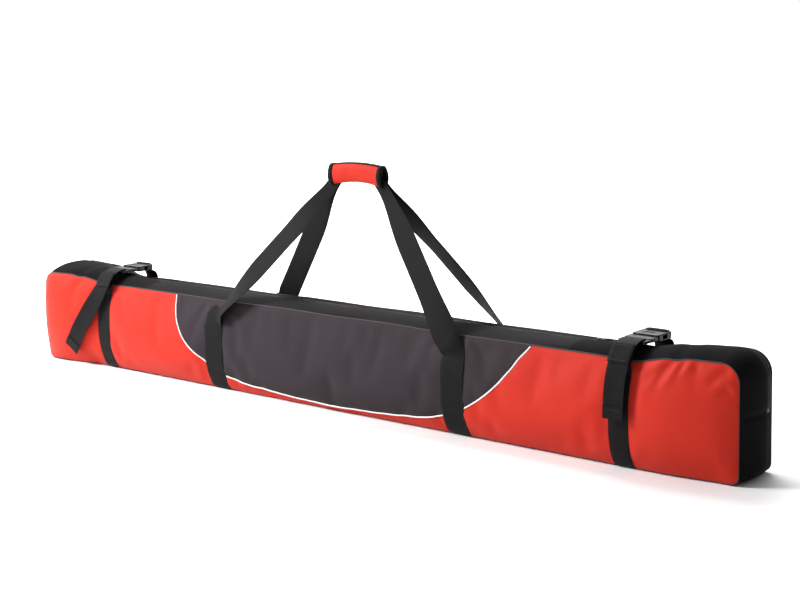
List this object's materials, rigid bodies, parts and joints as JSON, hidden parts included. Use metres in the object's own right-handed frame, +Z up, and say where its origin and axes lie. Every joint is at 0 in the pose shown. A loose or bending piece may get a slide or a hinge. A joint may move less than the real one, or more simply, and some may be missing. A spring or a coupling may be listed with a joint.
{
  "type": "ski bag",
  "caption": "Long padded ski bag with a lid zip, a padded carry handle and compression straps with side-release buckles.",
  "frame": {"origin": "on the floor under the middle of the bag's length, midway between its front and rear", "axes": "+X along the bag to its right end, -Y its front face, +Z up"},
  "size_m": [1.679, 0.1746, 0.458],
  "materials": {
    "red_fabric": "padded polyester, fine plain weave",
    "grip_fabric": "padded polyester, fine plain weave",
    "dark_fabric": "matt charcoal polyester",
    "gusset_fabric": "matt near-black polyester",
    "piping": "white woven piping",
    "lining": "grey lining over foam",
    "zip_tape": "black zip tape",
    "zip_chain": "black moulded chain",
    "zip_metal": "black enamel",
    "webbing": "black polyester webbing",
    "binding": "black grosgrain binding",
    "hook_and_loop": "black hook and loop tape",
    "buckle_plastic": "black acetal, satin"
  },
  "bodies": {
    "root": {"front_panel_red": "red_fabric", "front_panel_middle": "dark_fabric", "front_piping": "piping", "front_foam": "lining", "rear_panel_red": "red_fabric", "rear_panel_middle": "dark_fabric", "rear_piping": "piping", "rear_foam": "lining", "bottom_panel": "gusset_fabric", "end_panel_left": "gusset_fabric", "end_panel_right": "gusset_fabric", "gusset_front_left": "gusset_fabric", "gusset_front_right": "gusset_fabric", "gusset_rear_left": "gusset_fabric", "gusset_rear_right": "gusset_fabric", "zip_tape_left": "zip_tape", "zip_tape_right": "zip_tape", "zip_chain_left": "zip_chain", "zip_chain_right": "zip_chain", "zip_stops": "zip_metal", "handle_band_left": "webbing", "handle_band_right": "webbing", "left_strap_sewn": "webbing", "right_strap_sewn": "webbing", "left_buckle_socket": "buckle_plastic", "right_buckle_socket": "buckle_plastic"},
    "lid_front": {"lid_front_fabric": "gusset_fabric", "zip_tape_lid_front": "zip_tape", "zip_chain_lid_front": "zip_chain"},
    "lid_rear": {"lid_rear_fabric": "gusset_fabric", "zip_tape_lid_rear": "zip_tape", "zip_chain_lid_rear": "zip_chain"},
    "slider_main": {"zip_slider_main": "zip_metal"},
    "pull_main": {"zip_pull_main": "zip_metal"},
    "slider_end": {"zip_slider_end": "zip_metal"},
    "pull_end": {"zip_pull_end": "zip_metal"},
    "handle_front": {"handle_front_webbing": "webbing", "grip_front_pad": "grip_fabric", "grip_front_binding": "binding", "grip_hook_strip": "hook_and_loop"},
    "handle_rear": {"handle_rear_webbing": "webbing", "grip_rear_pad": "grip_fabric", "grip_rear_binding": "binding", "grip_loop_strip": "hook_and_loop"},
    "left_plug": {"left_buckle_plug": "buckle_plastic", "left_strap_adjuster": "webbing", "left_strap_keeper": "webbing"},
    "left_prong_a": {"left_buckle_prong_a": "buckle_plastic"},
    "left_prong_b": {"left_buckle_prong_b": "buckle_plastic"},
    "right_plug": {"right_buckle_plug": "buckle_plastic", "right_strap_adjuster": "webbing", "right_strap_keeper": "webbing"},
    "right_prong_a": {"right_buckle_prong_a": "buckle_plastic"},
    "right_prong_b": {"right_buckle_prong_b": "buckle_plastic"}
  },
  "joints": [
    {"name": "lid_front_open", "type": "hinge", "parent": "root", "child": "lid_front", "pos_m": [0, -0.05275, 0.18], "axis": [1, 0, 0], "range_deg": [0, 70]},
    {"name": "lid_rear_open", "type": "hinge", "parent": "root", "child": "lid_rear", "pos_m": [0, 0.05275, 0.18], "axis": [-1, 0, 0], "range_deg": [0, 70]},
    {"name": "slider_main_run", "type": "slide", "parent": "root", "child": "slider_main", "axis": [-1, 0, 0], "range_m": [0, 1.13]},
    {"name": "pull_main_lift", "type": "hinge", "parent": "slider_main", "child": "pull_main", "pos_m": [0.556, 0.026, 0.184], "axis": [0, 1, 0], "range_deg": [0, 150]},
    {"name": "slider_end_run", "type": "slide", "parent": "root", "child": "slider_end", "axis": [1, 0, 0], "range_m": [0, 0.055]},
    {"name": "pull_end_lift", "type": "hinge", "parent": "slider_end", "child": "pull_end", "pos_m": [0.585, 0.026, 0.184], "axis": [0, 1, 0], "range_deg": [-150, 0]},
    {"name": "handle_front_swing", "type": "hinge", "parent": "root", "child": "handle_front", "pos_m": [0, -0.06931, 0.152], "axis": [1, 0, 0], "range_deg": [0, 110]},
    {"name": "handle_rear_swing", "type": "hinge", "parent": "root", "child": "handle_rear", "pos_m": [0, 0.06931, 0.152], "axis": [-1, 0, 0], "range_deg": [0, 110]},
    {"name": "left_plug_release", "type": "slide", "parent": "root", "child": "left_plug", "axis": [0, -1, 0], "range_m": [0, 0.028]},
    {"name": "left_prong_a_bend", "type": "hinge", "parent": "left_plug", "child": "left_prong_a", "pos_m": [-0.654, -0.0015, 0.203], "axis": [0, 0, -1], "range_deg": [-0.5, 15]},
    {"name": "left_prong_b_bend", "type": "hinge", "parent": "left_plug", "child": "left_prong_b", "pos_m": [-0.626, -0.0015, 0.203], "axis": [0, 0, 1], "range_deg": [-0.5, 15]},
    {"name": "right_plug_release", "type": "slide", "parent": "root", "child": "right_plug", "axis": [0, -1, 0], "range_m": [0, 0.028]},
    {"name": "right_prong_a_bend", "type": "hinge", "parent": "right_plug", "child": "right_prong_a", "pos_m": [0.626, -0.0015, 0.203], "axis": [0, 0, -1], "range_deg": [-0.5, 15]},
    {"name": "right_prong_b_bend", "type": "hinge", "parent": "right_plug", "child": "right_prong_b", "pos_m": [0.654, -0.0015, 0.203], "axis": [0, 0, 1], "range_deg": [-0.5, 15]}
  ],
  "couplings": [
    {"joint": "left_prong_a_bend", "follows": "left_plug_release", "rad_per_m": 9},
    {"joint": "left_prong_b_bend", "follows": "left_plug_release", "rad_per_m": 9},
    {"joint": "right_prong_a_bend", "follows": "right_plug_release", "rad_per_m": 9},
    {"joint": "right_prong_b_bend", "follows": "right_plug_release", "rad_per_m": 9}
  ]
}
